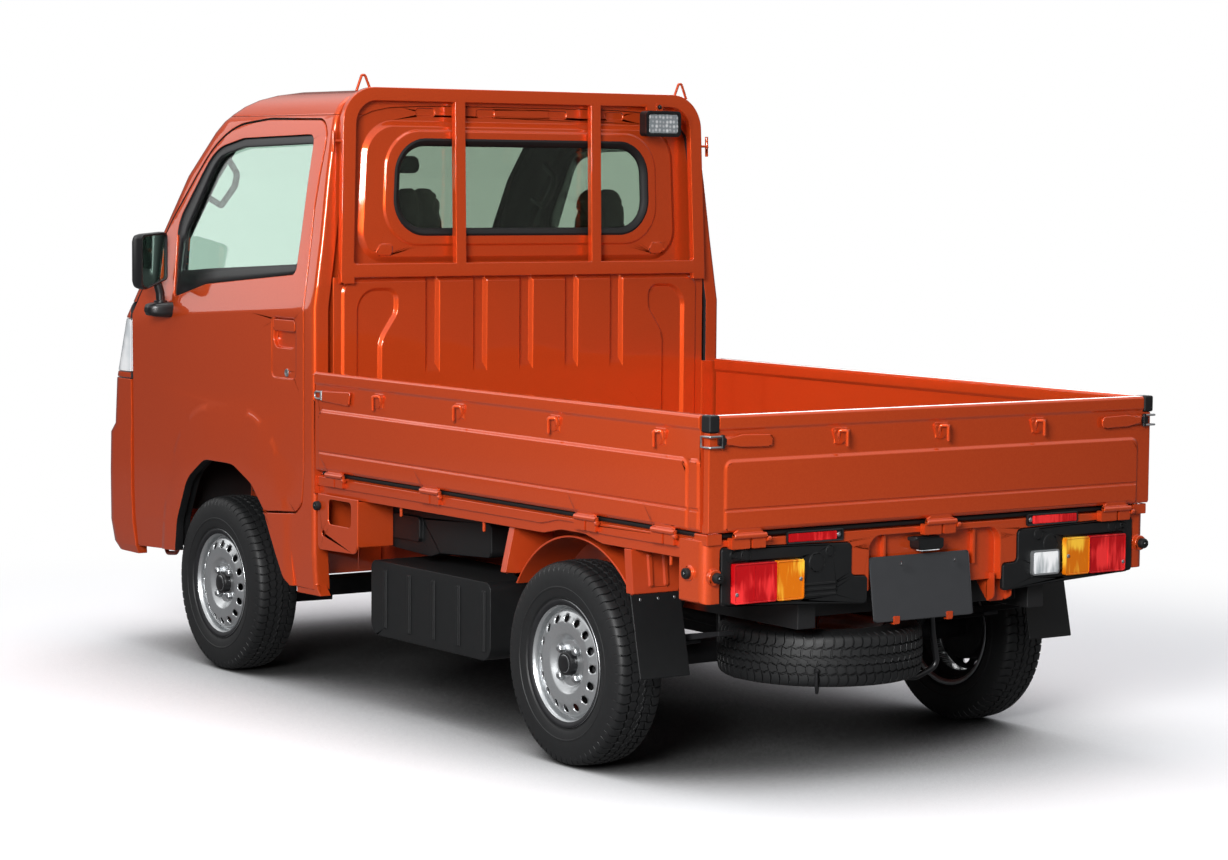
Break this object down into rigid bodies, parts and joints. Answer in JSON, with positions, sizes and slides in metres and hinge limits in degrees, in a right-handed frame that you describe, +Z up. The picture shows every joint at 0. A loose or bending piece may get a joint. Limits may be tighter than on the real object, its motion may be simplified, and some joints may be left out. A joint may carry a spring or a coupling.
{
  "type": "kei truck",
  "caption": "Small cab-over pickup truck with a two-seat steel cab, hinged doors, drop-side bed, guard frame behind the cab and steel wheels.",
  "frame": {"origin": "centre of the footprint on the ground", "axes": "+X to the truck's left, +Y to its tail, +Z up"},
  "size_m": [1.696, 3.395, 1.8175],
  "materials": {
    "black_plastic": "grained black plastic",
    "cast": "dark cast and forged parts",
    "clear_lens": "clear lamp lens",
    "glass": "tinted glass",
    "paint": "metallic orange paint",
    "plate": "dark grey blank plate",
    "red_lens": "red lamp lens",
    "seat_fabric": "black seat cloth",
    "steel_rim": "silver painted steel",
    "stop_rubber": "black rubber",
    "tyre": "black rubber",
    "underside": "orange primer-coated chassis parts"
  },
  "bodies": {
    "body": {"air_box": "black_plastic", "bed_bearers": "underside", "bed_floor": "paint", "bed_headboard": "paint", "cab_back_panel": "paint", "cab_floor": "paint", "cab_roof": "paint", "cab_side_left": "paint", "cab_side_right": "paint", "chassis_frame": "underside", "dashboard": "black_plastic", "engine": "cast", "exhaust": "cast", "flap_hangers": "underside", "front_bumper": "paint", "front_grille": "black_plastic", "front_panel": "paint", "front_suspension": "cast", "fuel_tank": "black_plastic", "gate_stops": "stop_rubber", "guard_frame": "paint", "headlamps": "clear_lens", "lamp_panels": "black_plastic", "leaf_springs": "cast", "mud_flaps": "black_plastic", "number_plate": "plate", "rear_axle": "cast", "rear_end_panel": "paint", "rear_window": "glass", "seat_left": "seat_fabric", "seat_right": "seat_fabric", "side_brackets": "paint", "spare_rim": "steel_rim", "spare_tyre": "tyre", "tail_lamps": "red_lens", "transmission": "cast", "wheel_houses": "underside", "windscreen": "glass", "work_lamp": "black_plastic"},
    "door_left": {"door_left": "paint", "door_glass_left": "glass", "door_mirror_left": "black_plastic"},
    "side_gate_left": {"side_gate_left": "paint"},
    "knuckle_left": {"knuckle_left": "cast"},
    "wheel_front_left": {"tyre_front_left": "tyre", "rim_front_left": "steel_rim"},
    "wheel_rear_left": {"tyre_rear_left": "tyre", "rim_rear_left": "steel_rim"},
    "door_right": {"door_right": "paint", "door_glass_right": "glass", "door_mirror_right": "black_plastic"},
    "side_gate_right": {"side_gate_right": "paint"},
    "knuckle_right": {"knuckle_right": "cast"},
    "wheel_front_right": {"tyre_front_right": "tyre", "rim_front_right": "steel_rim"},
    "wheel_rear_right": {"tyre_rear_right": "tyre", "rim_rear_right": "steel_rim"},
    "tailgate": {"tailgate": "paint", "gate_caps": "stop_rubber"},
    "steering_wheel": {"steering_wheel": "black_plastic"}
  },
  "joints": [
    {"name": "door_left_hinge", "type": "hinge", "parent": "body", "child": "door_left", "pos_m": [0.733, -1.4385, 0.8], "axis": [0, 0, -1], "range_deg": [0, 65]},
    {"name": "side_gate_left_hinge", "type": "hinge", "parent": "body", "child": "side_gate_left", "pos_m": [0.738, 0.6955, 0.662], "axis": [0, 1, 0], "range_deg": [0, 166]},
    {"name": "steer_left", "type": "hinge", "parent": "body", "child": "knuckle_left", "pos_m": [0.548, -0.8725, 0.2685], "axis": [0, 0, 1], "range_deg": [-33, 33]},
    {"name": "wheel_front_left_spin", "type": "hinge", "parent": "knuckle_left", "child": "wheel_front_left", "pos_m": [0.652, -0.8725, 0.2685], "axis": [1, 0, 0], "continuous": true},
    {"name": "wheel_rear_left_spin", "type": "hinge", "parent": "body", "child": "wheel_rear_left", "pos_m": [0.652, 1.0275, 0.2685], "axis": [1, 0, 0], "continuous": true},
    {"name": "door_right_hinge", "type": "hinge", "parent": "body", "child": "door_right", "pos_m": [-0.733, -1.4385, 0.8], "axis": [0, 0, 1], "range_deg": [0, 65]},
    {"name": "side_gate_right_hinge", "type": "hinge", "parent": "body", "child": "side_gate_right", "pos_m": [-0.738, 0.6955, 0.662], "axis": [0, -1, 0], "range_deg": [0, 166]},
    {"name": "steer_right", "type": "hinge", "parent": "body", "child": "knuckle_right", "pos_m": [-0.548, -0.8725, 0.2685], "axis": [0, 0, 1], "range_deg": [-33, 33]},
    {"name": "wheel_front_right_spin", "type": "hinge", "parent": "knuckle_right", "child": "wheel_front_right", "pos_m": [-0.652, -0.8725, 0.2685], "axis": [1, 0, 0], "continuous": true},
    {"name": "wheel_rear_right_spin", "type": "hinge", "parent": "body", "child": "wheel_rear_right", "pos_m": [-0.652, 1.0275, 0.2685], "axis": [1, 0, 0], "continuous": true},
    {"name": "tailgate_hinge", "type": "hinge", "parent": "body", "child": "tailgate", "pos_m": [0, 1.6795, 0.66], "axis": [-1, 0, 0], "range_deg": [0, 166]},
    {"name": "steering_wheel_turn", "type": "hinge", "parent": "body", "child": "steering_wheel", "pos_m": [-0.33, -1.0875, 1.048], "axis": [0, 0.5101, 0.8601], "range_deg": [-495, 495]}
  ],
  "couplings": [
    {"joint": "steer_right", "follows": "steer_left", "ratio": 1},
    {"joint": "steering_wheel_turn", "follows": "steer_left", "ratio": 15}
  ]
}
